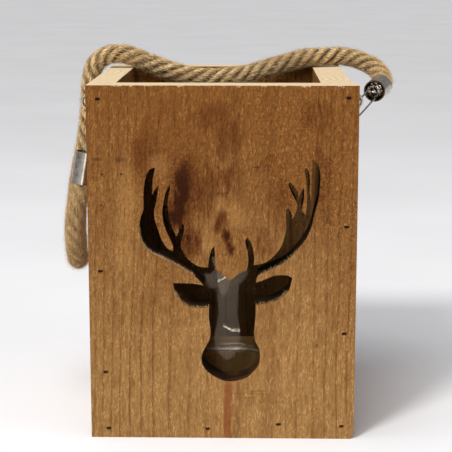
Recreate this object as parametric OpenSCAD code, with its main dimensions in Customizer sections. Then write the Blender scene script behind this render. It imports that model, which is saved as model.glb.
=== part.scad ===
// Open wooden lantern with a stag's head cut through its front board, a
// clear candle glass inside and a rope handle hung on screw eyes.
// Millimetres, +Z up, the front faces -Y, the origin is under the middle of
// the box on the surface it stands on.

/* [Box] */
// Width of the front board
box_w = 180; // [140:1:220]
// Height of the boards
box_h = 242; // [200:1:300]
// Depth from the front face to the back face
box_d = 190; // [150:1:240]
// Thickness of the front board
front_t = 22; // [15:0.5:25]
// Thickness of the back board
back_t = 20; // [15:0.5:25]
// Thickness of the left board
left_t = 18; // [15:0.5:25]
// Thickness of the right board
right_t = 21; // [15:0.5:25]
// How far the right board stands in from the front board's end
right_inset = 3.5; // [0:0.5:6]
// Thickness of the base board
base_t = 26; // [12:0.5:30]

/* [Glass] */
// Outer diameter of the candle glass
glass_d = 100; // [80:1:104]
// Height of the candle glass
glass_h = 127; // [100:1:160]
// Wall of the candle glass
glass_wall = 3; // [2:0.25:4]
// Floor of the candle glass
glass_floor = 6; // [3:0.5:10]
// Where the glass stands, front to back
glass_y = -19.5; // [-20:0.5:20]

/* [Handle] */
// Diameter of the rope
rope_d = 14; // [10:0.5:16]
// Outer diameter of the end caps
cap_d = 16; // [14:0.5:18]
// Length of the end caps
cap_l = 23.5; // [18:0.5:30]
// Wall of the end caps
cap_wall = 0.9; // [0.6:0.1:1.5]
// Wire of the loops
loop_wire = 1.4; // [1:0.1:2]
// Wire of the screw eyes
eye_wire = 2.2; // [1.5:0.1:3]
// Mean radius of the screw eyes' rings
eye_r = 5.2; // [4:0.1:7]

/* [Hidden] */
$fn = 48;
front_y = -box_d / 2;
back_y = box_d / 2;
left_x = -box_w / 2;
right_x = box_w / 2 - right_inset;
in_l = left_x + left_t;
in_r = right_x - right_t;
in_f = front_y + front_t;
in_b = back_y - back_t;
gap = 0.3;
wood_in = 13;
brad_sunk = 1.8;

// Brad positions, [x, z]; the first and last columns go into the side boards
front_nails = [[-82, 233], [-82, 117], [-79.5, 46.5], [-78, 6.5], [-10, 6.5],
               [38.5, 10], [81.5, 9], [82.5, 74.5], [83, 148], [83, 234]];
back_nails = [[-81, 232], [-81, 120], [-80, 48], [-79, 8], [-12, 8],
              [36, 9], [77, 9], [77, 60], [76, 134], [77, 230]];

// Ends of the handle: the middle of each cap's open mouth, the way the cap
// runs from its mouth to the rope, the middle of each screw eye's ring
left_mouth = [-101.5, 0, 185];
left_dir = [-0.174, 0, -0.985];
right_mouth = [109.5, 22, 228];
right_dir = [0.28, 0.95, 0.1];
left_ring = [left_x - 9, 0, 222];
right_ring = [right_x + 7, 0, 222.5];
loop_l = 34;
loop_half = 4.2;
rope_in = 9.5;
plug_at = 4;
plug_l = 5;

// The stag's outline as smooth runs between sharp corners, [x, z]: left
// antler, left ear, face, right ear, right antler and back over the crown
runs = [
    [[-44.5, 187.5], [-48.5, 186], [-51.5, 178.5], [-52.5, 168.5],
     [-52.5, 159.5], [-54.5, 154], [-55.5, 147.5], [-55, 140.5],
     [-52.5, 134.5], [-48, 130], [-41, 126.5], [-33, 122.5],
     [-24.5, 117.5], [-18.5, 114], [-14.5, 110], [-12.5, 107.5]],
    [[-12.5, 107.5], [-17.5, 108.5], [-24.5, 109], [-33, 109]],
    [[-33, 109], [-32, 103], [-27.5, 96], [-21.5, 92.5], [-14, 92],
     [-9, 92.5]],
    [[-9, 92.5], [-9, 84.5], [-8, 77.5], [-8, 72.5], [-9.5, 68],
     [-12, 63.5], [-14, 58.5], [-14, 54], [-11.5, 49], [-7, 45],
     [-0.5, 41.5], [4.5, 40.5], [10, 41], [17, 43.5], [21, 47.5],
     [24.5, 52], [25.5, 57.5], [25, 63.5], [22.5, 68.5], [21.5, 74.5],
     [22, 80], [22.5, 86.5], [22.5, 94]],
    [[22.5, 94], [29.5, 95.5], [35, 97], [39.5, 99.5], [44.5, 104],
     [46, 108.5], [47, 113]],
    [[47, 113], [44.5, 114.5], [40.5, 115], [35, 114.5], [29, 112],
     [22.5, 109.5]],
    [[22.5, 109.5], [23.5, 114], [26, 116], [32.5, 119], [39.5, 122.5],
     [45.5, 127], [51, 133.5], [56, 140], [59.5, 148], [61, 155],
     [62.5, 161], [64, 166.5], [64.5, 171.5], [65, 180], [64.5, 186],
     [63, 190.5], [60, 193.5]],
    [[60, 193.5], [59.5, 186.5], [59.5, 176.5], [59, 165.5]],
    [[59, 165.5], [58, 171.5], [58, 178.5], [57.5, 184.5], [56, 187.5],
     [54.5, 186], [55.5, 181], [56, 174], [56.5, 167], [56, 159.5],
     [55.5, 156]],
    [[55.5, 156], [53, 159.5], [54, 165], [54.5, 170.5], [54, 174],
     [52.5, 172], [51, 167.5]],
    [[51, 167.5], [50, 172], [47.5, 175.5], [45, 178], [44, 177],
     [45, 173.5], [48, 167.5], [50, 163], [49.5, 159], [48, 155],
     [46.5, 153]],
    [[46.5, 153], [46.5, 155.5], [45.5, 158.5], [44, 160.5],
     [42.5, 158.5], [42.5, 152.5], [43, 147], [41.5, 141],
     [39.5, 134.5], [35.5, 129], [30, 124], [23.5, 122], [21, 122]],
    [[21, 122], [21.5, 125.5], [21, 130], [20, 135], [18.5, 138.5],
     [16.5, 140.5], [15.5, 137], [17, 131.5], [17.5, 125], [17, 120.5],
     [16, 118]],
    [[16, 118], [11.5, 116], [8, 113], [5.5, 111.5], [3, 112.5],
     [-1, 116], [-4.5, 119]],
    [[-4.5, 119], [-5, 124], [-5, 130], [-5.5, 134.5]],
    [[-5.5, 134.5], [-7.5, 131.5], [-9, 125], [-9.5, 120]],
    [[-9.5, 120], [-12.5, 120], [-17, 121], [-23, 125.5], [-25, 128.5],
     [-27.5, 133], [-27.5, 138], [-26, 142.5], [-25.5, 148],
     [-26.5, 149.5], [-28.5, 146.5], [-29.5, 143.5], [-30.5, 141]],
    [[-30.5, 141], [-32, 144], [-34.5, 150], [-36, 157], [-36.5, 163.5],
     [-35.5, 169.5], [-34.5, 174.5], [-35, 175.5], [-37.5, 171.5],
     [-39, 164.5], [-40, 158.5], [-39.5, 151.5], [-37.5, 145],
     [-35, 139.5], [-33, 134.5], [-33, 131]],
    [[-33, 131], [-37, 133], [-40.5, 138.5], [-43, 146], [-45, 152],
     [-45.5, 158], [-44.5, 162.5], [-43.5, 167.5], [-43, 171.5],
     [-42.5, 175.5]],
    [[-42.5, 175.5], [-45, 172.5], [-46.5, 169]],
    [[-46.5, 169], [-46.5, 174.5], [-46, 180.5], [-44.5, 187.5]]];

// The rope's middle line from inside the right cap, over the box and down
// the left side to inside the left cap
route = [
    right_mouth + rope_in * right_dir, right_mouth + cap_l * right_dir,
    right_mouth + 31 * right_dir,
    [118.5, 62, 235], [114.5, 72.5, 240.5], [106.5, 79.5, 245],
    [96, 82, 248.5], [84, 79.5, 249.8], [71, 73.5, 249.8],
    [57, 67, 248.5], [42, 61.5, 245], [27, 58, 241], [12, 56, 237],
    [-3, 55, 235], [-18, 55, 235], [-33, 56, 237.5], [-47, 57.5, 241.5],
    [-60, 59, 246], [-72, 60.5, 250.5], [-83, 61.5, 252.5],
    [-94, 61.5, 250.5], [-102, 61, 243], [-105, 60, 231],
    [-106, 59, 215], [-107.5, 58.5, 198], [-110.5, 58.5, 180],
    [-114.5, 58.5, 161], [-117, 57.5, 141], [-117, 53, 122],
    [-115, 43, 106], [-113, 29.5, 99], [-112, 15, 103.5],
    [-112, 4, 117], [-111.5, 0, 134], [-109, 0, 148],
    left_mouth + 31 * left_dir,
    left_mouth + cap_l * left_dir, left_mouth + rope_in * left_dir];

function spline(a, b, c, d, t) =
    0.5 * (2 * b + (c - a) * t + (2 * a - 5 * b + 4 * c - d) * t * t
           + (3 * b - a - 3 * c + d) * t * t * t);
function before(p, i) = i > 0 ? p[i - 1] : 2 * p[0] - p[1];
function after(p, i) = i < len(p) - 2 ? p[i + 2] : 2 * p[i + 1] - p[i];
function smooth(p, n) =
    [for (i = [0 : len(p) - 2], k = [0 : n - 1])
        spline(before(p, i), p[i], p[i + 1], after(p, i), k / n)];
function unit(v) = v / norm(v);

outline = [for (r = runs) each smooth(r, 2)];

// Places children with their +Z along v and turned by spin about it
module aim(v, spin = 0) {
    rotate([0, acos(v[2] / norm(v)), atan2(v[1], v[0])])
        rotate([0, 0, spin])
            children();
}

module stag_hole() {
    translate([0, in_f + 1, 0])
        rotate([90, 0, 0])
            linear_extrude(front_t + 2)
                polygon(outline);
}

// A headed brad driven along +Y from the face at y = 0
module brad(len) {
    translate([-1.3, brad_sunk, -0.6]) cube([2.6, 1.2, 1.2]);
    translate([-0.6, brad_sunk, -0.5]) cube([1.2, len, 1]);
}

module brad_hole(len) {
    translate([-1.5, -1, -0.75]) cube([3, brad_sunk + 2.3, 1.5]);
    translate([-0.7, -1, -0.6]) cube([1.4, brad_sunk + len + 1.5, 1.2]);
}

module at_front_nails() {
    for (p = front_nails) translate([p[0], front_y, p[1]]) children();
}

module at_back_nails() {
    for (p = back_nails)
        translate([p[0], back_y, p[1]]) rotate([0, 0, 180]) children();
}

module front_board() {
    color("peru") difference() {
        translate([left_x, front_y, 0]) cube([box_w, front_t, box_h]);
        stag_hole();
        at_front_nails() brad_hole(35);
        translate([box_w / 2, front_y - 1, 0]) rotate([-90, 0, 0])
            linear_extrude(front_t + 2) polygon([[-3, 1], [1, 1], [1, -6]]);
    }
}

module back_board() {
    color("peru") difference() {
        translate([left_x, in_b, 0]) cube([right_x - left_x, back_t, box_h]);
        at_back_nails() brad_hole(35);
        translate([left_x, back_y, -1]) rotate([0, 0, 28])
            translate([-10, -2.5, 0]) cube([24, 12, box_h + 2]);
    }
}

module left_board() {
    color("peru") difference() {
        translate([left_x, in_f, 0]) cube([left_t, in_b - in_f, box_h]);
        at_front_nails() brad_hole(35);
        at_back_nails() brad_hole(35);
        translate([left_x - 1, 0, left_ring[2]]) rotate([0, 90, 0])
            cylinder(h = wood_in + 2, r = 1.5);
    }
}

module right_board() {
    color("peru") difference() {
        translate([in_r, in_f, 0]) cube([right_t, in_b - in_f, box_h]);
        at_front_nails() brad_hole(35);
        at_back_nails() brad_hole(35);
        translate([right_x + 1, 0, right_ring[2]]) rotate([0, -90, 0])
            cylinder(h = wood_in + 2, r = 1.5);
    }
}

module base_board() {
    color("burlywood") difference() {
        translate([in_l, in_f, 0]) cube([in_r - in_l, in_b - in_f, base_t]);
        at_front_nails() brad_hole(35);
        at_back_nails() brad_hole(35);
    }
}

module front_brads() {
    color("dimgray") at_front_nails() brad(35);
}

module back_brads() {
    color("dimgray") at_back_nails() brad(35);
}

module glass() {
    r = glass_d / 2;
    ri = r - glass_wall;
    color("lightcyan", 0.4)
        translate([0, glass_y, base_t + gap])
            rotate_extrude($fn = 96) difference() {
                union() {
                    translate([0, 3]) square([r, glass_h - 3 - glass_wall / 2]);
                    square([r - 3, 4]);
                    translate([r - 3, 3]) circle(3);
                    translate([r - glass_wall / 2, glass_h - glass_wall / 2])
                        circle(glass_wall / 2);
                }
                translate([0, glass_floor + 5]) square([ri, glass_h]);
                translate([0, glass_floor]) square([ri - 5, 6]);
                translate([ri - 5, glass_floor + 5]) circle(5);
                translate([-r, -1]) square([r, glass_h + 2]);
            }
}

// Ring in the XZ plane with its screw along +X; reach is the bare neck
module screw_eye(reach) {
    rotate([90, 0, 0]) rotate_extrude() translate([eye_r, 0])
        circle(eye_wire / 2, $fn = 20);
    translate([eye_r, 0, 0]) rotate([0, 90, 0])
        cylinder(h = reach - eye_r, r = eye_wire / 2);
    translate([reach - 0.5, 0, 0]) rotate([0, 90, 0])
        cylinder(h = wood_in - 3, r = 1.4);
    translate([reach + wood_in - 3.5, 0, 0]) rotate([0, 90, 0])
        cylinder(h = 3, r1 = 1.4, r2 = 0.4);
}

module left_eye() {
    color("silver") translate(left_ring) screw_eye(left_x - left_ring[0]);
}

module right_eye() {
    color("silver") translate(right_ring) mirror([1, 0, 0])
        screw_eye(right_ring[0] - right_x);
}

// Hairpin of wire with its legs at x = +-loop_half and its bend towards +Z
module wire_loop(grow = 0) {
    r = loop_wire / 2 + grow;
    for (s = [-1, 1]) translate([s * loop_half, 0, -7])
        cylinder(h = loop_l - loop_half + 7, r = r, $fn = 20);
    translate([0, 0, loop_l - loop_half]) rotate([90, 0, 0])
        rotate_extrude(angle = 180) translate([loop_half, 0])
            circle(r, $fn = 20);
}

module at_left_loop() {
    translate(left_mouth) aim([2.5, 0, 33.9], 90) children();
}

module at_right_loop() {
    translate(right_mouth) aim([-13, -22, -10.7], 21) children();
}

module at_left_cap() {
    translate(left_mouth) aim(-left_dir) children();
}

module at_right_cap() {
    translate(right_mouth) aim(-right_dir) children();
}

module left_loop() {
    color("gainsboro") at_left_loop() wire_loop();
}

module right_loop() {
    color("gainsboro") at_right_loop() wire_loop();
}

// Tube with its mouth at z = 0 and the rope going in at z = -cap_l
module cap() {
    difference() {
        translate([0, 0, -cap_l]) cylinder(h = cap_l, r = cap_d / 2);
        translate([0, 0, -cap_l - 1])
            cylinder(h = cap_l + 2, r = cap_d / 2 - cap_wall);
    }
}

module left_cap() {
    color("silver") at_left_cap() cap();
}

module right_cap() {
    color("silver") at_right_cap() cap();
}

// Disc that holds the loop's two legs inside a cap
module plug() {
    translate([0, 0, -plug_at - plug_l])
        cylinder(h = plug_l, r = cap_d / 2 - cap_wall - 0.05);
}

module left_plug() {
    color("darkgray") difference() {
        at_left_cap() plug();
        at_left_loop() wire_loop(0.05);
    }
}

module right_plug() {
    color("darkgray") difference() {
        at_right_cap() plug();
        at_right_loop() wire_loop(0.05);
    }
}

// Round tube swept along the route, closed by a fan at each end
module rope() {
    line = concat(smooth(route, 2), [route[len(route) - 1]]);
    m = len(line);
    sides = 12;
    ref = [0.6, -0.5, 0.6];
    dirs = [for (i = [0 : m - 1])
        unit(line[min(i + 1, m - 1)] - line[max(i - 1, 0)])];
    rings = [for (i = [0 : m - 1])
        let (u = unit(cross(dirs[i], ref)), w = cross(dirs[i], u))
            for (k = [0 : sides - 1])
                line[i] + rope_d / 2
                    * (cos(360 * k / sides) * u + sin(360 * k / sides) * w)];
    walls = [for (i = [0 : m - 2], k = [0 : sides - 1])
        let (a = i * sides + k, b = i * sides + (k + 1) % sides)
            for (f = [[a, b + sides, b], [a, a + sides, b + sides]]) f];
    ends = [[for (k = [0 : sides - 1]) k],
            [for (k = [sides - 1 : -1 : 0]) (m - 1) * sides + k]];
    color("tan") polyhedron(points = rings, faces = concat(walls, ends));
}

front_board();
back_board();
left_board();
right_board();
base_board();
front_brads();
back_brads();
glass();
left_eye();
right_eye();
left_loop();
right_loop();
left_cap();
right_cap();
left_plug();
right_plug();
rope();
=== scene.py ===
"""Looks of the stag lantern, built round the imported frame: a hairy four-strand
jute handle in steel caps, rough-sawn boards with cream end grain, a candle
glass and rusty brads. Pieces are in metres. The rope's route, the marks on the
wood and names ending in _mm or _MM are in millimetres."""

import math

import bpy
import numpy as np
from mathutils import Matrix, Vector


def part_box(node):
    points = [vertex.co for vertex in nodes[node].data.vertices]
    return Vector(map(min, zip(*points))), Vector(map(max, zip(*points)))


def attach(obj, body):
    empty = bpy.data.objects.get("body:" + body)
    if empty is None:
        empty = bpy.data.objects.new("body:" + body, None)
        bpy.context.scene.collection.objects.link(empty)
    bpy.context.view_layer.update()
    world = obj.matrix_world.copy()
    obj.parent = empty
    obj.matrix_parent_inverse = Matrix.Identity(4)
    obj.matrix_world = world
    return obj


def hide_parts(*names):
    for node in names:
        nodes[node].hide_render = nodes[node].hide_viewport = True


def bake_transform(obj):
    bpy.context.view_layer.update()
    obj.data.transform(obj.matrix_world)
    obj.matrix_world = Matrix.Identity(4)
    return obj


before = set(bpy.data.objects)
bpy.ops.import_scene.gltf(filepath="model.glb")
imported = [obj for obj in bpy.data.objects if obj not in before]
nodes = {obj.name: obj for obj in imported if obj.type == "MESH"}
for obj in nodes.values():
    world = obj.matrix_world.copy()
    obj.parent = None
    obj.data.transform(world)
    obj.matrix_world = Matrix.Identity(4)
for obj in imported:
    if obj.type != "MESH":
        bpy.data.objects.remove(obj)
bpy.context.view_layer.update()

MM = 0.001
SEED = 7

# --- Camera -----------------------------------------------------------------
# Its place in metres, and how far it is turned down and to the left, in degrees
CAMERA_AT = (0.0229, -0.9934, 0.3205)
CAMERA_DOWN = 10.84
CAMERA_LEFT = 1.30
LENS_MM = 109.2


def make_camera():
    """The photograph's viewing angle: from the front, a little above."""
    data = bpy.data.cameras.new("camera")
    data.lens = LENS_MM
    data.sensor_width = 36.0
    camera = bpy.data.objects.new("camera", data)
    camera.location = CAMERA_AT
    camera.rotation_euler = (
        math.radians(90 - CAMERA_DOWN), 0.0, math.radians(CAMERA_LEFT))
    bpy.context.scene.collection.objects.link(camera)
    bpy.context.scene.camera = camera


make_camera()

# --- Rope: route and size -----------------------------------------------------
# Length of rope in which a strand goes once round it
LAY_MM = 40.0
STRANDS = 4
# Along each cap from its open mouth: where the rope starts inside it, where the
# cap ends, and how far on the rope still runs straight
ROPE_IN_MM = 9.5
CAP_MM = 23.5
LEAD_MM = 31.0
# The middle of each cap's open mouth, and the way from it along the cap to the rope
RIGHT_MOUTH = (109.5, 22.0, 228.0)
RIGHT_DIR = (0.28, 0.95, 0.1)
LEFT_MOUTH = (-101.5, 0.0, 185.0)
LEFT_DIR = (-0.174, 0.0, -0.985)

# Middle line between the caps: right cap over the box, then the left loop
OVER_RIGHT = [
    (118.5, 62, 235), (114.5, 72.5, 240.5), (106.5, 79.5, 245),
    (96, 82, 248.5), (84, 79.5, 249.8), (71, 73.5, 249.8)]
OVER_BOX = [
    (57, 67, 248.5), (42, 61.5, 245), (27, 58, 241), (12, 56, 237),
    (-3, 55, 235), (-18, 55, 235), (-33, 56, 237.5), (-47, 57.5, 241.5),
    (-60, 59, 246), (-72, 60.5, 250.5), (-83, 61.5, 252.5),
    (-94, 61.5, 250.5), (-102, 61, 243), (-105, 60, 231)]
LEFT_LOOP = [
    (-106, 59, 215), (-107.5, 58.5, 198), (-110.5, 58.5, 180),
    (-114.5, 58.5, 161), (-117, 57.5, 141), (-117, 53, 122),
    (-115, 43, 106), (-113, 29.5, 99), (-112, 15, 103.5),
    (-112, 4, 117), (-111.5, 0, 134), (-109, 0, 148)]


def along(mouth, way, distance):
    return tuple(m + distance * w for m, w in zip(mouth, way))


ROUTE_MM = (
    [along(RIGHT_MOUTH, RIGHT_DIR, d) for d in (ROPE_IN_MM, CAP_MM, LEAD_MM)]
    + OVER_RIGHT + OVER_BOX + LEFT_LOOP
    + [along(LEFT_MOUTH, LEFT_DIR, d) for d in (LEAD_MM, CAP_MM, ROPE_IN_MM)])
# Where the rope's two lengths meet
SEAM_MM = np.array(OVER_RIGHT[-1], float)
# Two points on each length of rope, in metres
RIGHT_BEND = ((0.095, 0.082, 0.2485), (0.118, 0.046, 0.231))
LEFT_BEND = ((-0.108, 0.0585, 0.215), (-0.108, 0.002, 0.181))
# The hanging loop gets hairy over this length
FRAYING_MM = 45.0


def spline(points, steps):
    """Catmull-Rom line through the points."""
    p = np.array(points, float)
    p = np.vstack([2 * p[0] - p[1], p, 2 * p[-1] - p[-2]])
    t = np.arange(steps)[:, None] / steps
    line = [0.5 * (2 * b + (c - a) * t + (2 * a - 5 * b + 4 * c - d) * t ** 2
                   + (3 * b - a - 3 * c + d) * t ** 3)
            for a, b, c, d in zip(p, p[1:], p[2:], p[3:])]
    return np.vstack(line + [p[-2][None]])


def even(line, step):
    """The same line with points a near-even step apart, and their distances."""
    run = np.r_[0, np.cumsum(np.linalg.norm(np.diff(line, axis=0), axis=1))]
    s = np.linspace(0, run[-1], int(round(run[-1] / step)) + 1)
    return np.column_stack([np.interp(s, run, line[:, k]) for k in range(3)]), s


def carried_frames(line):
    """A tangent and two side directions at each point, with no twist."""
    tangent = np.gradient(line, axis=0)
    tangent /= np.linalg.norm(tangent, axis=1)[:, None]
    side = np.empty_like(tangent)
    first = np.cross(tangent[0], (0.0, 0.0, 1.0))
    side[0] = first / np.linalg.norm(first)
    for i in range(1, len(line)):
        s = side[i - 1] - tangent[i] * (side[i - 1] @ tangent[i])
        side[i] = s / np.linalg.norm(s)
    return tangent, side, np.cross(tangent, side)


def ripple(values, seed):
    """Smooth seeded unevenness along a line, about -1 to 1."""
    rng = np.random.default_rng(seed)
    out = np.zeros_like(values, dtype=float)
    for k in range(5):
        out += np.sin(values * (0.6 + k * 0.83) + rng.uniform(0, 6.28)) / (k + 1)
    return out / 1.6


def frayed(s):
    """0 where the rope is sound, up to 1 on the hanging loop, which has
    rubbed so hairy that its strands hardly show."""
    t = np.clip((s - FRAY_FROM) / FRAYING_MM, 0, 1)
    return t * t * (3 - 2 * t)


def rope_profile(angle, s):
    """Distance of the rope's surface from its middle line, and how far up a
    strand's crown it is: four round strands laid left-handed, each showing
    the ridges of its yarns, which run nearly along the rope."""
    quarter = 2 * math.pi / STRANDS
    turn = angle + 2 * math.pi * s / LAY_MM + 0.10 * ripple(s / 9.0, 3)
    strand = np.floor(turn / quarter)
    u = turn - (strand + 0.5) * quarter
    # A strand is an oval, and r is where a line from the rope's middle leaves it
    centre, deep, wide = 3.9, 3.1, 3.35
    a = (np.cos(u) / deep) ** 2 + (np.sin(u) / wide) ** 2
    b = -2 * centre * np.cos(u) / deep ** 2
    c = (centre / deep) ** 2 - 1
    r = (-b + np.sqrt(np.maximum(b * b - 4 * a * c, 0))) / (2 * a)
    crown = np.cos(np.clip(2 * u, -math.pi / 2, math.pi / 2))
    # Deeper creases, strands that thicken and thin, yarns, and single fibres
    strand %= STRANDS
    r -= 0.75 * (1 - crown) ** 3
    r += 0.30 * ripple(s / 7.0 + 11.0 * strand, 5) * crown
    yarn = angle * 9.5 + s * 0.10 + 1.7 * strand
    yarn += 0.9 * np.sin(s / 4.3 + 2.0 * strand) + 0.5 * np.sin(s / 1.9 + angle * 3)
    ridge = np.abs(np.sin(yarn))
    r += 0.50 * (ridge - 0.6) * (0.3 + 0.7 * crown)
    # The valleys between yarns count as crease, so the material paints shade there too
    crown = crown * (0.45 + 0.55 * ridge)
    r += 0.12 * np.sin(angle * 27 + s * 0.8) * np.sin(s * 1.1 - angle * 9)
    # Where it is worn the surface evens out and the creases fill with fibres
    worn = frayed(s)
    r += 0.25 * worn * (6.2 - r) + 0.25 * worn * ripple(s * 0.9 + 5 * np.sin(angle * 3), 8)
    return r, crown + 0.25 * worn * (1 - crown)


ROPE_LINE, ROPE_S = even(spline(ROUTE_MM, 24), 1.1)
FRAY_FROM = ROPE_S[np.argmin(np.linalg.norm(ROPE_LINE - LEFT_LOOP[1], axis=1))]
ROPE_T, ROPE_N, ROPE_B = carried_frames(ROPE_LINE)


def rope_mesh(name, first, last):
    """A stretch of the rope as one closed mesh. The attribute "straight"
    holds each point's place in the rope pulled straight, in millimetres,
    and "crown" runs from 0 in the creases to 1 on the strands; the rope's
    material paints shade in the creases by it."""
    rows = np.arange(first, last + 1)
    sides = 60
    angle = np.arange(sides) * 2 * math.pi / sides
    grid_a, grid_s = np.meshgrid(angle, ROPE_S[rows])
    r, crown = rope_profile(grid_a, grid_s)
    co = (ROPE_LINE[rows][:, None]
          + r[..., None] * (np.cos(grid_a)[..., None] * ROPE_N[rows][:, None]
                            + np.sin(grid_a)[..., None] * ROPE_B[rows][:, None]))
    n = len(rows)
    verts = (co.reshape(-1, 3) * MM).tolist()
    faces = [(i * sides + k, i * sides + (k + 1) % sides,
              (i + 1) * sides + (k + 1) % sides, (i + 1) * sides + k)
             for i in range(n - 1) for k in range(sides)]
    faces += [tuple(range(sides - 1, -1, -1)),
              tuple(range((n - 1) * sides, n * sides))]
    mesh = bpy.data.meshes.new(name)
    mesh.from_pydata(verts, [], faces)
    mesh.shade_smooth()
    straight = np.column_stack([
        (r * np.cos(grid_a)).ravel(), (r * np.sin(grid_a)).ravel(), grid_s.ravel()])
    at = mesh.attributes.new("straight", "FLOAT_VECTOR", "POINT")
    at.data.foreach_set("vector", straight.astype(np.float32).ravel())
    at = mesh.attributes.new("crown", "FLOAT", "POINT")
    at.data.foreach_set("value", crown.astype(np.float32).ravel())
    return linked(name, mesh)


def linked(name, mesh):
    piece = bpy.data.objects.new(name, mesh)
    bpy.context.scene.collection.objects.link(piece)
    return piece


def ribbons(name, points, across, straight):
    """One mesh of thin ribbons. points is (ribbon, step, xyz) in millimetres,
    and across the half width to each side of them."""
    count, steps = points.shape[:2]
    co = np.stack([points - across, points + across], axis=2)
    index = np.arange(count * steps * 2).reshape(count, steps, 2)
    faces = np.stack([index[:, :-1, 0], index[:, :-1, 1],
                      index[:, 1:, 1], index[:, 1:, 0]], axis=-1).reshape(-1, 4)
    mesh = bpy.data.meshes.new(name)
    mesh.from_pydata((co.reshape(-1, 3) * MM).tolist(), [], faces.tolist())
    at = mesh.attributes.new("straight", "FLOAT_VECTOR", "POINT")
    at.data.foreach_set("vector", np.repeat(straight, 2, axis=1).astype(np.float32).ravel())
    at = mesh.attributes.new("crown", "FLOAT", "POINT")
    at.data.foreach_set("value", np.ones(count * steps * 2, np.float32))
    return linked(name, mesh)


def rope_hairs(name, first, last, per_mm, seed):
    """Loose fibres as thin tapering ribbons. Most lie nearly along the rope
    and lift off it at the tip, some stand out, and the hanging loop has
    the most of them."""
    rng = np.random.default_rng(seed)
    rows = np.arange(first + 2, last - 12)
    thick = 1.0 + 2.0 * frayed(ROPE_S[rows])
    count = int((ROPE_S[last] - ROPE_S[first]) * per_mm * thick.mean())
    start = rng.choice(rows, count, p=thick / thick.sum())
    angle = rng.uniform(0, 2 * math.pi, count)
    r0, _ = rope_profile(angle, ROPE_S[start])
    wild = rng.random(count) < 0.28 + 0.22 * frayed(ROPE_S[start])
    furthest_out = 10.2

    def pick(loose, flat):
        return np.where(wild, rng.uniform(*loose, count), rng.uniform(*flat, count))

    length = pick((2.5, 7.5), (4.0, 11.0))
    lift = pick((0.25, 0.75), (0.02, 0.18))
    width = pick((0.05, 0.09), (0.07, 0.15))
    drift = rng.normal(0, 1, count) * np.where(wild, 0.6, 0.35)
    curl = rng.normal(0, 0.12, count)
    way = rng.choice((-1.0, 1.0), count)
    roll = rng.uniform(0, math.pi, count)
    points, across, straight = [], [], []
    for t in np.linspace(0, 1, 5):
        s = ROPE_S[start] + way * length * t * np.cos(lift)
        j = np.clip(np.round(s / ROPE_S[1]).astype(int), first, last)
        a = angle + (drift * t + curl * length * t * t) * length / 14
        r = r0 - 0.15 + length * np.sin(lift) * t ** 1.6 + 0.25 * t
        r = np.minimum(r, furthest_out)[:, None]
        out = np.cos(a)[:, None] * ROPE_N[j] + np.sin(a)[:, None] * ROPE_B[j]
        side = np.cross(out, ROPE_T[j])
        points.append(ROPE_LINE[j] + ROPE_T[j] * (s - ROPE_S[j])[:, None] + r * out)
        half = (width * (1 - 0.8 * t))[:, None]
        across.append(half * (side * np.cos(roll)[:, None] + out * np.sin(roll)[:, None]))
        straight.append(np.column_stack([r[:, 0] * np.cos(a), r[:, 0] * np.sin(a),
                                         s + 40 * angle]))
    return ribbons(name, *(np.stack(x, axis=1) for x in (points, across, straight)))


def crushed_metal(side):
    """The crumpled metal that jams the wire's ends in a cap: a round sheet
    folded into sharp ridges, just inside the cap's mouth."""
    mouth, way = (LEFT_MOUTH, LEFT_DIR) if side == "left" else (RIGHT_MOUTH, RIGHT_DIR)
    way = np.array(way) / np.linalg.norm(way)
    u = np.cross(way, (0.0, 0.0, 1.0) if side == "right" else (0.0, 1.0, 0.0))
    u /= np.linalg.norm(u)
    w = np.cross(way, u)
    rng = np.random.default_rng(SEED + len(side))
    folds = [(rng.uniform(0, math.pi), rng.uniform(1.1, 2.6), rng.uniform(0, 6))
             for _ in range(5)]
    radius, rings, spokes = 7.0, 22, 60
    deepest, ridge_height = 4.6, 3.4
    verts, faces = [], []
    for i in range(rings + 1):
        for k in range(spokes):
            r = radius * (i + 0.01) / (rings + 0.01)
            a = 2 * math.pi * k / spokes
            x, y = r * math.cos(a), r * math.sin(a)
            fold = sum(abs(math.sin((x * math.cos(f) + y * math.sin(f)) / size + at)) ** 0.7
                       for f, size, at in folds) / len(folds)
            depth = deepest - ridge_height * fold * (1 - (r / radius) ** 6)
            verts.append(tuple((np.array(mouth) + way * depth + u * x + w * y) * MM))
    for i in range(rings):
        inner, outer = i * spokes, (i + 1) * spokes
        for k in range(spokes):
            n = (k + 1) % spokes
            faces.append((inner + k, outer + k, outer + n, inner + n))
    mesh = bpy.data.meshes.new(side + "_crushed_metal")
    mesh.from_pydata(verts, [], faces)
    mesh.shade_smooth()
    piece = linked(mesh.name, mesh)
    piece.data.materials.append(PLUGS)
    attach(piece, side + "_end")
    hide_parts(side + "_plug")
    return piece


def make_rope():
    """Two lengths of one rope, which meet over the right board, where the rope
    lies still."""
    seam = int(np.argmin(np.linalg.norm(ROPE_LINE - SEAM_MM, axis=1)))
    last = len(ROPE_LINE) - 1
    hairs_per_mm = 34.0
    for side, a, b, (start, end) in (("right", 0, seam, RIGHT_BEND),
                                     ("left", seam, last, LEFT_BEND)):
        rope = rope_mesh("rope_" + side, a, b)
        fuzz = rope_hairs("rope_fibres_" + side, a, b, hairs_per_mm, SEED + a)
        for piece in (rope, fuzz):
            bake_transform(piece)
            piece.data.materials.append(JUTE)
        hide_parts("rope")
        crushed_metal(side)


# --- Materials ----------------------------------------------------------------
def tone(r, g, b):
    """A colour given as 0-255 screen values."""
    return tuple(((v / 255 + 0.055) / 1.055) ** 2.4 if v > 10 else v / 3295
                 for v in (r, g, b)) + (1.0,)


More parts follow.
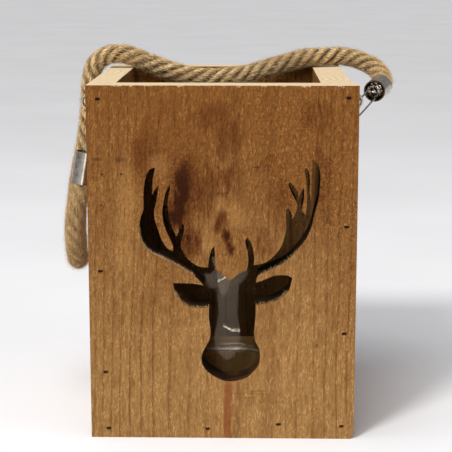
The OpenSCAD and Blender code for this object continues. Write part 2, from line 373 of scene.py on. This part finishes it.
class Shade:
    """One material's node tree. Each call adds a node and returns its output."""

    def __init__(self, name):
        self.material = bpy.data.materials.new(name)
        self.material.use_nodes = True
        self.tree = self.material.node_tree
        self.skin = self.tree.nodes["Principled BSDF"]
        self.place = None

    def feed(self, socket, value):
        if isinstance(value, bpy.types.NodeSocket):
            self.tree.links.new(value, socket)
        else:
            socket.default_value = value

    def add(self, kind, inputs, out=0, **settings):
        node = self.tree.nodes.new("ShaderNode" + kind)
        for key, value in settings.items():
            setattr(node, key, value)
        for key, value in inputs.items():
            self.feed(node.inputs[key], value)
        return node.outputs[out]

    def set(self, **values):
        for key, value in values.items():
            self.feed(self.skin.inputs[key.replace("_", " ")], value)

    def facing(self):
        """The three parts of the surface's normal."""
        return self.split(self.add("NewGeometry", {}, out="Normal"))

    def mm(self):
        """Place on the object, in millimetres."""
        if self.place is None:
            co = self.add("TexCoord", {}, out="Object")
            self.place = self.scaled(co, (1000, 1000, 1000))
        return self.place

    def scaled(self, vector, by):
        return self.add("VectorMath", {0: vector, 1: by}, operation="MULTIPLY")

    def moved(self, vector, by):
        return self.add("VectorMath", {0: vector, 1: by}, operation="ADD")

    def length(self, vector):
        return self.add("VectorMath", {0: vector}, out="Value", operation="LENGTH")

    def split(self, vector):
        node = self.tree.nodes.new("ShaderNodeSeparateXYZ")
        self.feed(node.inputs[0], vector)
        return node.outputs[0], node.outputs[1], node.outputs[2]

    def join(self, x, y, z):
        return self.add("CombineXYZ", {0: x, 1: y, 2: z})

    def math(self, operation, a, b=0.0):
        return self.add("Math", {0: a, 1: b}, operation=operation)

    def plus(self, a, b):
        return self.math("ADD", a, b)

    def minus(self, a, b):
        return self.math("SUBTRACT", a, b)

    def times(self, a, b):
        return self.math("MULTIPLY", a, b)

    def noise(self, vector, by, shift, detail=2.0, rough=0.5, twist=0.0):
        at = self.moved(self.scaled(vector, by), (shift, shift * 1.7, shift * 0.6))
        return self.add("TexNoise", {"Vector": at, "Scale": 1.0, "Detail": detail,
                                     "Roughness": rough, "Distortion": twist})

    def rise(self, value, low, high, to_low=0.0, to_high=1.0):
        """Smooth step of value from low to high."""
        return self.add("MapRange", {"Value": value, "From Min": low, "From Max": high,
                                     "To Min": to_low, "To Max": to_high},
                        interpolation_type="SMOOTHSTEP")

    def mix(self, factor, a, b):
        return self.add("Mix", {0: factor, 6: a, 7: b}, out=2, data_type="RGBA")

    def bump(self, height, depth_mm, strength=1.0):
        return self.add("Bump", {"Height": height, "Distance": depth_mm * MM,
                                 "Strength": strength})

    def blot(self, x, z, wide, tall, strength, ragged=None):
        """Soft oval on a board's face, with its full strength in the middle. ragged
        is the place to use instead, where something has moved the oval's edge."""
        at = ragged if ragged is not None else self.mm()
        near = self.scaled(self.moved(at, (-x, 0, -z)), (1 / wide, 0, 1 / tall))
        return self.rise(self.length(near), 1.15, 0.25, 0.0, strength)

    def most(self, values):
        out = values[0]
        for value in values[1:]:
            out = self.math("MAXIMUM", out, value)
        return out


def jute():
    """Golden tan fibres running along the rope, with painted shade in the creases and between
    the yarns.
    """
    m = Shade("jute_rope")
    straight = m.add("Attribute", {}, out="Vector", attribute_name="straight")
    crown = m.add("Attribute", {}, out="Fac", attribute_name="crown")
    fibre = m.noise(straight, (1.5, 1.5, 0.14), 3.0, detail=4, rough=0.7, twist=0.5)
    strand = m.noise(straight, (0.35, 0.35, 0.06), 9.0, detail=2)
    patch = m.noise(straight, (0.05, 0.05, 0.03), 4.0, detail=1)
    colour = m.mix(m.rise(fibre, 0.36, 0.64), tone(116, 84, 44), tone(255, 224, 170))
    colour = m.mix(m.rise(strand, 0.3, 0.75, 0.0, 0.40), colour, tone(188, 150, 98))
    colour = m.mix(m.rise(patch, 0.35, 0.7, 0.0, 0.30), colour, tone(150, 116, 70))
    # Painted shade in the creases between the strands and between the yarns
    colour = m.mix(m.rise(crown, 0.78, 0.08, 0.0, 0.92), colour, tone(46, 30, 14))
    m.set(Base_Color=colour, Roughness=0.86, Specular_IOR_Level=0.22,
          Sheen_Weight=0.35, Sheen_Roughness=0.45, Sheen_Tint=tone(235, 205, 160))
    height = m.plus(fibre, m.noise(straight, (1.1, 1.1, 0.15), 1.0, detail=2))
    m.set(Normal=m.bump(height, 0.9, 0.9))
    return m.material


JUTE = jute()

# --- The boards' wood -----------------------------------------------------------
TOP_MM = round(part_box("front_board")[1][2] / MM, 1)
# The front board's cut-out lies inside this half width
CUT_HALF_MM = 74.0
# Dark grain colour for grain lines and scratches, also used for the painted shade in the pits
# between torn fibres
GRAIN_AND_PIT_SHADE = tone(92, 54, 22)
CREAM = tone(214, 193, 158)
CREAM_LINE = tone(168, 132, 86)
STAIN_BROWN = tone(92, 50, 20)
STAIN_DARK = tone(46, 18, 5)
FLECK = tone(58, 32, 16)
FLECK_STRENGTH = 0.85
# Colour of the painted shade on the boards' inner faces
INSIDE_SHADE_TONE = tone(52, 32, 17)


def growth_rings(m, pith, ring_mm, shift):
    """The rings' dark lines, round a pith that wanders slowly up the board,
    and the slow noise that it wanders by."""
    p = m.mm()
    x, y, _ = m.split(p)
    wander = m.noise(p, (0.011, 0.011, 0.0032), shift, detail=2)
    wiggle = m.noise(p, (0.09, 0.09, 0.008), shift + 5, detail=2)
    wander_mm, wiggle_mm = 30.0, 2.6
    dx = m.plus(m.minus(x, pith[0]), m.times(m.minus(wander, 0.5), wander_mm))
    dy = m.minus(y, pith[1])
    radius = m.plus(m.length(m.join(dx, dy, 0.0)), m.times(wiggle, wiggle_mm))
    ring = m.math("FRACT", m.math("DIVIDE", radius, ring_mm))
    late = m.times(m.rise(ring, 0.72, 0.93), m.rise(ring, 1.0, 0.96))
    return late, wander


def sawn_surface(m, mottle, climb, shift):
    """How high the fibres stand that the saw tore: upright tears, leathery
    where the board is dark, with a finer fuzz on them."""
    p = m.mm()
    tears = m.noise(p, (0.62, 0.62, 0.13), shift + 1, detail=5, rough=0.66, twist=0.4)
    leather = m.noise(p, (0.46, 0.46, 0.36), shift + 7, detail=4, rough=0.62, twist=1.1)
    coarse = m.times(m.rise(mottle, 0.40, 0.60), m.rise(climb, 0.35, 0.8))
    torn = m.add("Mix", {0: coarse, 2: tears, 3: leather})
    fuzz = m.noise(p, (1.6, 1.6, 0.42), shift + 3, detail=3, rough=0.6)
    return torn, fuzz


def stained(m, colour, stains, torn, shift):
    """Water stains with ragged edges: a brown wash, dark in the middle."""
    p = m.mm()
    swirl = m.add("TexNoise", {"Vector": m.scaled(p, (0.10, 0.10, 0.035)),
                               "Scale": 1.0, "Detail": 4.0}, out="Color")
    ragged_mm = (15, 0, 26)
    ragged = m.moved(p, m.scaled(m.moved(swirl, (-0.5, -0.5, -0.5)), ragged_mm))
    wet = m.most([m.blot(*s, ragged=ragged) for s in stains])
    fibres = m.noise(p, (0.34, 0.34, 0.03), shift + 9, detail=4)
    wet = m.times(wet, m.rise(fibres, 0.30, 0.58, 0.72, 1.0))
    wet = m.plus(wet, m.times(m.rise(wet, 0.0, 0.3), m.rise(torn, 0.55, 0.35, -0.10, 0.14)))
    colour = m.mix(m.rise(wet, 0.05, 0.62, 0.0, 0.88), colour, STAIN_BROWN)
    return m.mix(m.rise(wet, 0.50, 0.95, 0.0, 0.92), colour, STAIN_DARK)


def sawn_ends(m, colour, late, shift):
    """Cream sawn ends with the rings as darker arcs, and cream chips broken
    off along the board's top edge. Also says how far a point is on an end."""
    p = m.mm()
    z = m.split(p)[2]
    at_end = m.math("MAXIMUM", m.rise(z, TOP_MM - 3, TOP_MM - 2), m.rise(z, 1.5, 1.0))
    end = m.times(m.rise(m.math("ABSOLUTE", m.facing()[2]), 0.55, 0.9), at_end)
    grain = m.noise(p, (1.3, 1.3, 0.4), shift + 4, detail=3)
    cream = m.mix(m.times(late, 0.75), CREAM, CREAM_LINE)
    cream = m.mix(m.rise(grain, 0.55, 0.3, 0.0, 0.25), cream, CREAM_LINE)
    colour = m.mix(end, colour, cream)
    chips = m.noise(p, (0.16, 0.16, 0.16), shift + 15, detail=5, rough=0.75)
    chip_mm = 14.0
    broken = m.plus(z, m.times(m.minus(chips, 0.62), chip_mm))
    colour = m.mix(m.rise(broken, TOP_MM - 1.6, TOP_MM - 1.0, 0.0, 0.65), colour, CREAM)
    return colour, end


def charred(m, colour, mottle, fuzz):
    """Walls of the cut-out, charred to a dull black with some brown left."""
    x, _, z = m.split(m.mm())
    side_on = m.rise(m.math("ABSOLUTE", m.facing()[1]), 0.6, 0.3)
    in_cut = m.times(m.rise(m.math("ABSOLUTE", x), CUT_HALF_MM, CUT_HALF_MM - 2),
                     m.times(m.rise(z, 8, 12), m.rise(z, TOP_MM - 6, TOP_MM - 9)))
    char = m.mix(m.rise(mottle, 0.50, 0.62), tone(26, 19, 15), tone(70, 40, 20))
    char = m.mix(m.rise(fuzz, 0.6, 0.75, 0.0, 0.5), char, tone(84, 66, 50))
    return m.mix(m.times(m.times(side_on, in_cut), 0.96), colour, char)


def paint_inside_shade(m, colour, inside, inside_shade):
    """Painted shade on the face turned inwards, to the candle, from a little below the top
    downwards.
    """
    sign, axis = inside
    inner = m.rise(m.times(m.facing()["xyz".index(axis)], float(sign)), 0.5, 0.9)
    z = m.split(m.mm())[2]
    deep = m.rise(z, TOP_MM - 25, TOP_MM - 80, 0.0, inside_shade)
    return m.mix(m.times(inner, deep), colour, INSIDE_SHADE_TONE)


def sawn_relief(m, torn, late, climb, end, shift):
    """Bump of the torn fibres and the saw's scrapes, softer near the foot
    and on the sawn ends."""
    p = m.mm()
    nap = m.noise(p, (0.48, 0.48, 0.20), shift + 14, detail=2, rough=0.55, twist=0.6)
    scrape = m.noise(p, (0.05, 0.05, 0.62), shift + 6, detail=2)
    height = m.plus(nap, m.times(torn, 0.35))
    height = m.plus(height, m.times(scrape, 0.18))
    height = m.minus(height, m.times(late, 0.10))
    strength = m.times(m.rise(climb, 0.0, 0.7, 0.55, 1.0), m.minus(1.0, m.times(end, 0.8)))
    fibre_mm = 3.2
    return m.bump(height, fibre_mm, strength)


def wood(name, upper, lower, pith, ring_mm, shift, stains=(), flecks=(), inside=None,
         inside_shade=0.72, marks=None):
    """Rough-sawn softwood with its grain along +Z. upper and lower are its
    colours at the top and the foot. The growth rings go round pith, an (x, y),
    ring_mm apart. shift moves its noise, so that no two boards are alike.
    inside is the sign and axis of the face turned to the candle; the argument after
    it is how much painted shade darkens that face. marks adds what only one board has."""
    m = Shade(name)
    p = m.mm()
    z = m.split(p)[2]
    late, wander = growth_rings(m, pith, ring_mm, shift)
    # Tone: darker and warmer towards the top, mottled, streaked by the fibres
    mottle = m.noise(p, (0.028, 0.028, 0.016), shift + 2, detail=3, rough=0.55)
    patchy_mm, pale_below, dark_above = 150.0, 25.0, 225.0
    patchy = m.times(m.minus(mottle, 0.5), patchy_mm)
    climb = m.rise(m.plus(z, patchy), pale_below, dark_above)
    colour = m.mix(climb, lower, upper)
    streak = m.noise(p, (0.75, 0.75, 0.02), shift + 8, detail=4, rough=0.65)
    colour = m.mix(m.rise(streak, 0.3, 0.72, 0.0, 0.26), colour, GRAIN_AND_PIT_SHADE)
    ring_depth = m.rise(wander, 0.3, 0.7, 0.22, 0.58)
    colour = m.mix(m.times(late, ring_depth), colour, GRAIN_AND_PIT_SHADE)
    # Torn fibres: a painted highlight where they stand up, painted shade in the pits between
    torn, fuzz = sawn_surface(m, mottle, climb, shift)
    peak_highlight = m.times(m.rise(torn, 0.50, 0.60), m.rise(fuzz, 0.46, 0.60))
    highlight_tone = m.mix(climb, tone(200, 158, 104), tone(184, 134, 78))
    colour = m.mix(m.times(peak_highlight, 0.45), colour, highlight_tone)
    colour = m.mix(m.rise(fuzz, 0.48, 0.32, 0.0, 0.34), colour, GRAIN_AND_PIT_SHADE)
    colour = m.mix(m.rise(torn, 0.49, 0.33, 0.0, 0.46), colour, GRAIN_AND_PIT_SHADE)
    if stains:
        colour = stained(m, colour, stains, torn, shift)
    if marks is not None:
        colour = marks(m, colour)
    if flecks:
        dots = m.most([m.blot(*fleck, FLECK_STRENGTH) for fleck in flecks])
        colour = m.mix(m.times(dots, m.rise(fuzz, 0.36, 0.56)), colour, FLECK)
    colour, end = sawn_ends(m, colour, late, shift)
    # The cut-out's charred walls, and painted shade on the face turned inwards
    if inside is not None:
        if inside[1] == "y":
            colour = charred(m, colour, mottle, fuzz)
        colour = paint_inside_shade(m, colour, inside, inside_shade)
    m.set(Base_Color=colour, Roughness=m.rise(torn, 0.3, 0.7, 0.60, 0.85),
          Specular_IOR_Level=0.05)
    m.set(Normal=sawn_relief(m, torn, late, climb, end, shift))
    return m.material


def front_marks(m, colour):
    """What only the front board shows: pale patches, the edge of an old water
    stain, a reddish resin streak under the muzzle, dark rust round the brads
    and a patch of cross scratches."""
    p = m.mm()
    x, _, z = m.split(p)
    swirl = m.noise(p, (0.03, 0.03, 0.03), 12.0, detail=2)
    sway_mm = 8.0
    sideways = m.join(m.times(swirl, sway_mm), 0.0, 0.0)
    pale = m.most([m.blot(*s, ragged=m.moved(p, sideways)) for s in FRONT_PALES])
    colour = m.mix(pale, colour, tone(176, 130, 76))
    # The stain's edge: an arch round (x, z), so wide and tall each way from it
    (arch_x, arch_z), (wide, tall) = (-22.0, 196.0), (36.0, 40.0)
    dome = m.length(m.join(m.math("DIVIDE", m.minus(x, arch_x), wide), 0.0,
                           m.math("DIVIDE", m.minus(z, arch_z), tall)))
    dome = m.plus(dome, m.times(m.minus(swirl, 0.5), 0.5))
    band = m.times(m.rise(dome, 0.62, 0.98, 0.30, 0.62), m.rise(dome, 1.03, 0.99))
    band = m.times(band, m.rise(z, 170.0, 190.0))
    uneven = m.noise(p, (0.05, 0.05, 0.04), 33.0)
    band = m.times(band, m.rise(uneven, 0.35, 0.6, 0.3, 0.9))
    colour = m.mix(band, colour, tone(104, 60, 25))
    # The resin streak, which sways a little, from the foot to the muzzle
    streak_x, streak_top = 6.4, 44.0
    way = m.plus(x, m.times(m.noise(p, (0.0, 0.0, 0.06), 3.0), 5.0))
    off = m.math("ABSOLUTE", m.minus(way, streak_x))
    streak = m.times(m.rise(off, 3.6, 1.6), m.rise(z, streak_top, streak_top - 6))
    colour = m.mix(m.times(streak, 0.72), colour, tone(118, 62, 32))
    rust = m.most([m.blot(bx, bz, 2.3, 1.5, 0.85) for bx, bz in FRONT_BRADS])
    colour = m.mix(rust, colour, tone(48, 24, 12))
    ripples = m.noise(p, (0.06, 0.0, 0.9), 21.0, detail=2, twist=0.5)
    scratches = m.times(m.blot(25.0, 30.0, 19.0, 10.0, 1.0), m.rise(ripples, 0.56, 0.62))
    return m.mix(m.times(scratches, 0.5), colour, GRAIN_AND_PIT_SHADE)


# Marks on the front board: x, z, half width, half height and strength. Brads have
# only a place, and flecks share one strength.
FRONT_STAINS = [
    # The long dark flame between the antlers and what spreads round it
    (-25, 174, 8, 26, 1.1), (-30, 160, 8, 18, 1.1), (-23, 170, 17, 36, 0.76),
    (-8, 176, 13, 22, 0.56), (5, 180, 11, 18, 0.56), (-22, 137, 10, 20, 0.80),
    # The knot's dark streak above the crown
    (0, 150, 5, 12, 0.78), (3, 141, 4, 9, 0.95), (6, 133, 4, 11, 0.85),
    # Washes under the rim and down the right side
    (-51, 196, 13, 20, 0.55), (-8, 222, 20, 14, 0.50), (2, 208, 12, 18, 0.56),
    (38, 164, 15, 26, 0.48), (65, 176, 12, 44, 0.46), (64, 222, 18, 18, 0.46),
    (27, 134, 9, 18, 0.46), (30, 188, 22, 10, 0.34)]
FRONT_BRADS = [
    (-82, 233), (-82, 117), (-79.5, 46.5), (-78, 6.5), (-10, 6.5),
    (38.5, 10), (81.5, 9), (82.5, 74.5), (83, 148), (83, 234)]
FRONT_PALES = [
    (-61, 162, 10, 36, 0.36), (-39, 189, 9, 9, 0.40), (4, 163, 5, 8, 0.34),
    (15, 155, 8, 12, 0.30), (-4, 137, 6, 9, 0.34), (-62, 130, 9, 22, 0.30)]
FRONT_FLECKS = [
    (-83, 193, 4.2, 1.6), (-68, 193, 5.0, 2.4), (-85, 184, 1.2, 0.9),
    (-80, 183, 1.6, 1.0), (-67, 183, 1.5, 1.2), (-81, 162, 1.8, 1.2),
    (-3, 188, 1.0, 1.4), (23, 188, 3.2, 1.0), (64, 66, 1.6, 1.8)]


def metal(name, colour, rough, wave_mm=0.0, stretch=(1, 1, 1), dirt=0.0, black=0.0):
    """Bare steel with fine wear in its gloss and grime in patches. black, where given, paints
    shade near black in blotches, for metal deep in a recess.
    """
    m = Shade(name)
    p = m.mm()
    wear = m.noise(p, tuple(0.9 * s for s in stretch), 2.0, detail=4, rough=0.6)
    grime = m.noise(p, (0.25, 0.25, 0.25), 6.0, detail=3)
    tint = m.mix(m.rise(grime, 0.45, 0.75, 0.0, dirt), colour, tone(70, 58, 46))
    if black:
        # Painted shade: blotches darkened near black, for metal deep in a cap's mouth
        recess_shade = m.noise(p, (0.42, 0.42, 0.42), 9.0, detail=2)
        tint = m.mix(m.rise(recess_shade, 0.46, 0.56, black, 0.0), tint, tone(16, 13, 10))
    m.set(Base_Color=tint, Metallic=1.0,
          Roughness=m.rise(wear, 0.3, 0.75, rough * 0.7, rough * 1.4))
    if wave_mm:
        m.set(Normal=m.bump(m.noise(p, (0.7, 0.7, 0.7), 8.0, detail=3), wave_mm, 0.8))
    return m.material


def glass():
    """Clear candle glass, faintly grey green."""
    m = Shade("clear_glass")
    m.set(Base_Color=tone(250, 252, 250), Roughness=0.015, IOR=1.37,
          Specular_Tint=tone(255, 232, 205), Transmission_Weight=1.0)
    smear = m.noise(m.mm(), (0.03, 0.03, 0.008), 5.0, detail=1)
    m.set(Normal=m.bump(smear, 0.10, 0.3))
    return m.material


def brad_steel():
    """Dark oxidised nails with a little rust."""
    m = Shade("brad_steel")
    rust = m.noise(m.mm(), (1.6, 1.6, 1.6), 3.0, detail=3)
    m.set(Base_Color=m.mix(m.rise(rust, 0.4, 0.7), tone(34, 22, 16), tone(84, 44, 22)),
          Metallic=0.3, Roughness=0.7)
    return m.material


# --- Dressing the CAD nodes ----------------------------------------------------
def dress(name, material, bevel_mm=0.0):
    """Gives a CAD node its material and, where it is sawn or cut, worn edges."""
    node = nodes[name]
    node.data.materials.clear()
    node.data.materials.append(material)
    if bevel_mm:
        weld = node.modifiers.new("weld", "WELD")
        weld.merge_threshold = 1e-6
        worn = node.modifiers.new("worn_edges", "BEVEL")
        worn.width = bevel_mm * MM
        worn.segments = 2
        worn.limit_method = "ANGLE"
        worn.angle_limit = math.radians(50)
        worn.harden_normals = False


# The crushed metal sits deep in the caps' mouths, so much of it gets painted shade
PLUGS = metal("plug_metal", tone(196, 190, 178), 0.20, 0.5, dirt=0.5, black=0.95)
make_rope()

WALL_EDGE_MM = 0.7
BASE_EDGE_MM = 0.6
BRAD_EDGE_MM = 0.15
dress("front_board", wood(
    "wood_front", tone(128, 82, 38), tone(150, 112, 66), (18, -22), 5.4, 1.0,
    stains=FRONT_STAINS, flecks=FRONT_FLECKS, inside=(1, "y"), marks=front_marks), WALL_EDGE_MM)
dress("back_board", wood(
    "wood_back", tone(148, 100, 50), tone(170, 127, 76), (-30, 40), 6.0, 31.0,
    inside=(-1, "y")), WALL_EDGE_MM)
dress("left_board", wood(
    "wood_left", tone(150, 103, 52), tone(170, 127, 76), (-160, 20), 4.4, 17.0,
    inside=(1, "x")), WALL_EDGE_MM)
# The right board's inner face gets less painted shade than the others
dress("right_board", wood(
    "wood_right", tone(152, 105, 54), tone(172, 129, 78), (40, -40), 5.2, 23.0,
    inside=(-1, "x"), inside_shade=0.2), WALL_EDGE_MM)
dress("base_board", wood(
    "wood_base", tone(150, 112, 60), tone(150, 112, 60), (10, 60), 4.6, 41.0,
    stains=[(-20, 24, 30, 30, 0.6)]), BASE_EDGE_MM)
dress("glass", glass())
BRADS = brad_steel()
for board in ("front", "back"):
    dress(board + "_brads", BRADS, BRAD_EDGE_MM)
EYES = metal("eye_steel", tone(196, 194, 190), 0.26, 0.05, dirt=0.35)
LOOPS = metal("loop_wire", tone(176, 172, 166), 0.22, 0.03, dirt=0.3)
CAPS = metal("cap_steel", tone(172, 165, 154), 0.17, 0.10, (0.3, 0.3, 2.0), dirt=0.45)
for side in ("left", "right"):
    dress(side + "_eye", EYES)
    dress(side + "_loop", LOOPS)
    dress(side + "_cap", CAPS)

# Lower edges of the stag where the saw left fibres standing: how many stand on
# each millimetre, and the edge's (x, z) points
TORN_EDGES = [
    (16, [(-55.5, 147), (-55, 140.5), (-52.5, 134.5), (-48, 130), (-41, 126.5),
          (-33, 122.5), (-24.5, 117.5), (-18.5, 114)]),
    (7, [(-32, 103), (-27.5, 96), (-21.5, 92.5), (-14, 92), (-9, 92.5)]),
    (4, [(22.5, 94), (29.5, 95.5), (35, 97), (39.5, 99.5), (44.5, 104)]),
    (2, [(26, 116), (32.5, 119), (39.5, 122.5), (45.5, 127), (51, 133.5)])]


def torn_fibres():
    """Short pale fibres that stand up from the cut's lower edges, at the front."""
    rng = np.random.default_rng(SEED + 90)
    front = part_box("front_board")[0][1] / MM
    points, across = [], []
    for per_mm, run in TORN_EDGES:
        line, s = even(spline([(x, front, z) for x, z in run], 8), 0.5)
        for _ in range(int(s[-1] * per_mm)):
            i = int(rng.integers(1, len(line) - 1))
            # It grows within 2 mm of the front face, up and a little outwards
            root = line[i] + (0, rng.uniform(0.0, 2.0), 0)
            tip = np.array((rng.normal(0, 0.6), rng.normal(-0.1, 0.35),
                            abs(rng.normal(0.9, 0.5)) + 0.2))
            sag = rng.normal(0, 0.25, 3)
            points.append([root + tip * t + sag * t * t for t in (0.0, 0.5, 1.0)])
            side = np.array((rng.uniform(0.04, 0.09), 0.0, 0.02))
            across.append([side, side * 0.7, side * 0.2])
    points = np.array(points)
    piece = ribbons("torn_fibres", points, np.array(across), points)
    m = Shade("torn_wood_fibre")
    pale = m.noise(m.mm(), (0.8, 0.8, 0.8), 2.0)
    m.set(Base_Color=m.mix(pale, tone(118, 84, 48), tone(208, 174, 124)), Roughness=0.8)
    piece.data.materials.append(m.material)
    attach(piece, "box")


torn_fibres()

# --- Floor and light -----------------------------------------------------------


def make_floor():
    mesh = bpy.data.meshes.new("floor")
    reach = 30.0
    mesh.from_pydata([(-reach, -reach, 0), (reach, -reach, 0), (reach, reach, 0),
                      (-reach, reach, 0)], [], [(0, 1, 2, 3)])
    floor = linked("floor", mesh)
    m = Shade("pale_floor")
    tint = m.noise(m.mm(), (0.004, 0.004, 0.004), 1.0, detail=3)
    m.set(Base_Color=m.mix(tint, tone(226, 226, 228), tone(240, 240, 242)),
          Roughness=0.75, Specular_IOR_Level=0.25)
    floor.data.materials.append(m.material)


def area_light(name, at, aim_at, size, watts, colour=(1, 1, 1)):
    data = bpy.data.lights.new(name, "AREA")
    data.shape = "RECTANGLE"
    data.size, data.size_y = size
    data.energy = watts
    data.color = colour
    lamp = bpy.data.objects.new(name, data)
    lamp.location = at
    lamp.rotation_euler = (Vector(aim_at) - Vector(at)).to_track_quat("-Z", "Y").to_euler()
    lamp.visible_camera = False
    bpy.context.scene.collection.objects.link(lamp)


def make_light():
    """Soft studio light: an even light from the front, high on the left, a broad
    key, a top light for the sawn ends, a little fill from the right, and two
    long low lamps that draw the highlights on the glass and on the left cap."""
    world = bpy.data.worlds.new("studio")
    world.use_nodes = True
    sky = world.node_tree.nodes["Background"]
    sky.inputs["Color"].default_value = (0.90, 0.91, 0.94, 1)
    sky.inputs["Strength"].default_value = 0.34
    bpy.context.scene.world = world
    middle = (0, 0, 0.13)
    data = bpy.data.lights.new("even_light", "SUN")
    data.energy = 2.15
    data.angle = math.radians(13)
    data.color = (1.0, 0.985, 0.96)
    lamp = bpy.data.objects.new("even_light", data)
    lamp.rotation_euler = Vector((0.62, 0.90, -1.02)).to_track_quat("-Z", "Y").to_euler()
    bpy.context.scene.collection.objects.link(lamp)
    area_light("key_light", (-0.35, -1.8, 1.3), middle, (0.6, 0.6), 8.0, (1.0, 0.98, 0.95))
    area_light("top_light", (-0.3, -0.25, 1.6), middle, (0.8, 0.8), 10.0)
    area_light("fill_light", (1.6, -0.7, 0.7), middle, (0.7, 0.7), 4.0)
    on_glass, on_cap = (0.008, -0.068, 0.07), (-0.105, 0, 0.165)
    area_light("glass_glint", (0.088, -0.29, 0.005), on_glass, (0.20, 0.0015), 0.018)
    area_light("cap_glint", (0.04, -0.60, 0.07), on_cap, (0.42, 0.10), 0.3)


make_floor()
make_light()
bpy.context.scene.view_settings.view_transform = "Standard"
